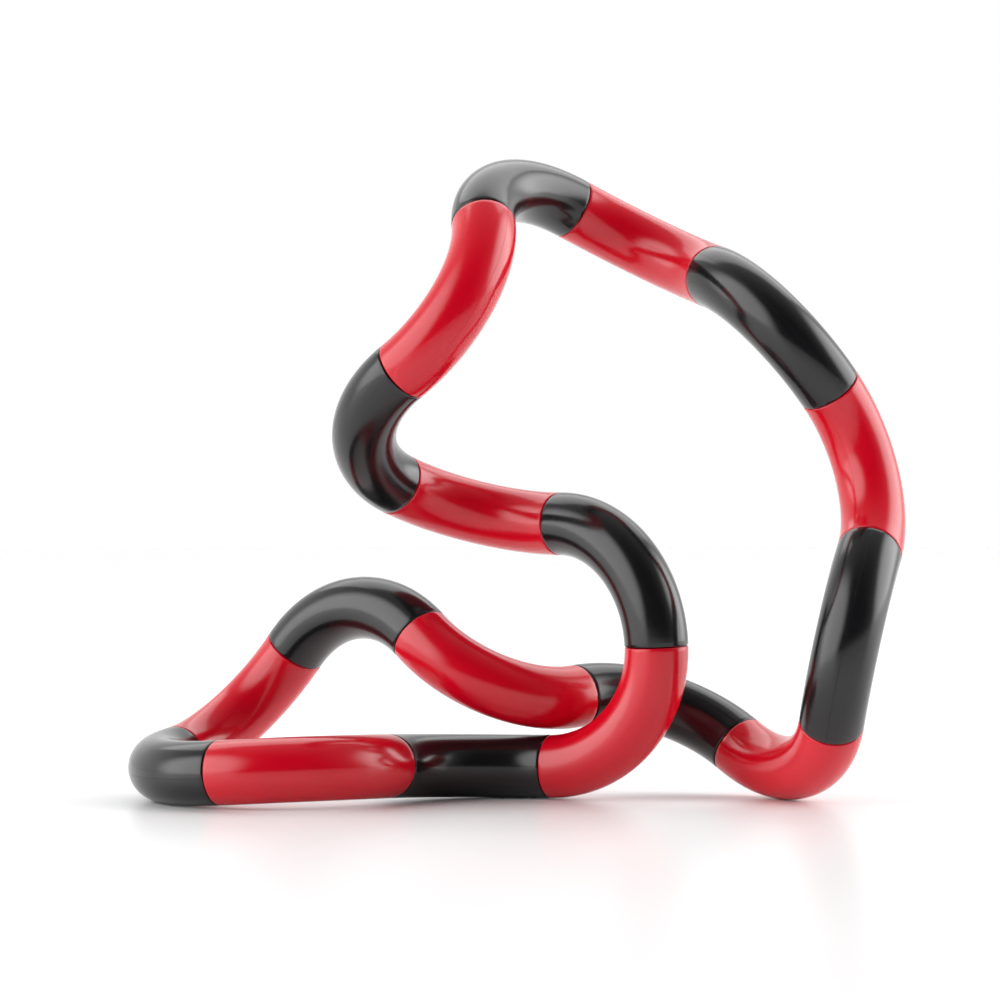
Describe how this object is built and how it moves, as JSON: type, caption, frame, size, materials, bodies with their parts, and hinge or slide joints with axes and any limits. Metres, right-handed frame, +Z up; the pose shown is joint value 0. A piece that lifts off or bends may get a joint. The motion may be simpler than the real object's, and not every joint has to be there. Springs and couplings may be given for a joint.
{
  "type": "twisty snake puzzle",
  "caption": "Closed loop of quarter-circle tube links in alternating red and black that swivel where they meet, standing in a twisted freeform pose.",
  "frame": {"origin": "on the floor below the middle of the loop's outside size", "axes": "+Z up, +X along the loop's longest side to the right as seen from the front, +Y away from the front"},
  "size_m": [0.1278, 0.0544, 0.1066],
  "materials": {
    "red_shell": "gloss",
    "black_shell": "gloss"
  },
  "bodies": {
    "link_01": {"link_01_left_shell": "red_shell", "link_01_right_shell": "red_shell"},
    "link_02": {"link_02_left_shell": "black_shell", "link_02_right_shell": "black_shell"},
    "link_03": {"link_03_left_shell": "red_shell", "link_03_right_shell": "red_shell"},
    "link_04": {"link_04_left_shell": "black_shell", "link_04_right_shell": "black_shell"},
    "link_05": {"link_05_left_shell": "red_shell", "link_05_right_shell": "red_shell"},
    "link_06": {"link_06_left_shell": "black_shell", "link_06_right_shell": "black_shell"},
    "link_07": {"link_07_left_shell": "red_shell", "link_07_right_shell": "red_shell"},
    "link_08": {"link_08_left_shell": "black_shell", "link_08_right_shell": "black_shell"},
    "link_09": {"link_09_left_shell": "red_shell", "link_09_right_shell": "red_shell"},
    "link_10": {"link_10_left_shell": "black_shell", "link_10_right_shell": "black_shell"},
    "link_11": {"link_11_left_shell": "red_shell", "link_11_right_shell": "red_shell"},
    "link_12": {"link_12_left_shell": "black_shell", "link_12_right_shell": "black_shell"},
    "link_13": {"link_13_left_shell": "red_shell", "link_13_right_shell": "red_shell"},
    "link_14": {"link_14_left_shell": "black_shell", "link_14_right_shell": "black_shell"},
    "link_15": {"link_15_left_shell": "red_shell", "link_15_right_shell": "red_shell"},
    "link_16": {"link_16_left_shell": "black_shell", "link_16_right_shell": "black_shell"},
    "link_17": {"link_17_left_shell": "red_shell", "link_17_right_shell": "red_shell"},
    "link_18": {"link_18_left_shell": "black_shell", "link_18_right_shell": "black_shell"}
  },
  "joints": [
    {"name": "swivel_05", "type": "hinge", "parent": "link_05", "child": "link_04", "pos_m": [0.008, 0.0043, 0.04556], "axis": [0.7259, -0.6878, 0.0054], "continuous": true},
    {"name": "swivel_06", "type": "hinge", "parent": "link_06", "child": "link_05", "pos_m": [-0.01948, 0.00443, 0.05227], "axis": [0.6479, 0.6811, -0.341], "range_deg": [-165, 0]},
    {"name": "swivel_07", "type": "hinge", "parent": "link_07", "child": "link_06", "pos_m": [-0.01798, -0.01738, 0.07021], "axis": [-0.7232, 0.4096, -0.556], "range_deg": [-165, 0]},
    {"name": "swivel_08", "type": "hinge", "parent": "link_08", "child": "link_07", "pos_m": [-0.00481, -0.01035, 0.09423], "axis": [0.0647, -0.7614, -0.6451], "range_deg": [-82.5, 0]},
    {"name": "swivel_09", "type": "hinge", "parent": "link_09", "child": "link_08", "pos_m": [0.01016, 0.01318, 0.09897], "axis": [-0.813, -0.4151, 0.4083], "range_deg": [0, 165]},
    {"name": "swivel_10", "type": "hinge", "parent": "link_10", "child": "link_09", "pos_m": [0.03363, 0.00329, 0.08667], "axis": [-0.3606, 0.9095, 0.2066], "range_deg": [-45, 150]},
    {"name": "swivel_11", "type": "hinge", "parent": "link_11", "child": "link_10", "pos_m": [0.05178, -0.00719, 0.06767], "axis": [-0.5468, -0.3856, 0.7431], "continuous": true},
    {"name": "swivel_12", "type": "hinge", "parent": "link_12", "child": "link_11", "pos_m": [0.05741, -0.01472, 0.041], "axis": [0.2654, 0.762, 0.5907], "range_deg": [0, 150]},
    {"name": "swivel_13", "type": "hinge", "parent": "link_13", "child": "link_12", "pos_m": [0.051, -0.01748, 0.01359], "axis": [0.0551, -0.6237, 0.7798], "range_deg": [-150, 0]},
    {"name": "swivel_14", "type": "hinge", "parent": "link_14", "child": "link_13", "pos_m": [0.0377, 0.00694, 0.00841], "axis": [0.61, -0.5972, -0.5208], "range_deg": [-90, 0]},
    {"name": "swivel_15", "type": "hinge", "parent": "link_15", "child": "link_14", "pos_m": [0.01069, 0.0056, 0.01672], "axis": [0.7402, 0.6641, 0.1054], "range_deg": [-45, 0]},
    {"name": "swivel_16", "type": "hinge", "parent": "link_16", "child": "link_15", "pos_m": [-0.01552, 0.00307, 0.02703], "axis": [0.5706, -0.5374, -0.6209], "range_deg": [-82.5, 0]},
    {"name": "swivel_17", "type": "hinge", "parent": "link_17", "child": "link_16", "pos_m": [-0.03743, 0.02067, 0.02386], "axis": [0.525, -0.3427, 0.7791], "range_deg": [0, 165]},
    {"name": "swivel_18", "type": "hinge", "parent": "link_18", "child": "link_17", "pos_m": [-0.05663, 0.00962, 0.00627], "axis": [0.4347, 0.8949, 0.1007], "range_deg": [-120, 0]},
    {"name": "swivel_01", "type": "hinge", "parent": "link_01", "child": "link_18", "pos_m": [-0.04745, -0.01712, 0.00574], "axis": [-0.8937, 0.4425, -0.0741], "range_deg": [-100, 0]},
    {"name": "swivel_02", "type": "hinge", "parent": "link_02", "child": "link_01", "pos_m": [-0.02064, -0.00812, 0.00607], "axis": [-0.4468, -0.8928, 0.0576], "range_deg": [-120, 0]},
    {"name": "swivel_03", "type": "hinge", "parent": "link_02", "child": "link_03", "pos_m": [0.00619, 0.00081, 0.00532], "axis": [0.8946, -0.4464, 0.0202], "range_deg": [0, 75]}
  ],
  "couplings": [
    {"joint": "swivel_02", "follows": "swivel_18", "ratio": 1},
    {"joint": "swivel_03", "follows": "swivel_01", "ratio": -0.75},
    {"joint": "swivel_08", "follows": "swivel_07", "ratio": 0.5},
    {"joint": "swivel_15", "follows": "swivel_14", "ratio": 0.5},
    {"joint": "swivel_16", "follows": "swivel_17", "ratio": -0.5}
  ]
}
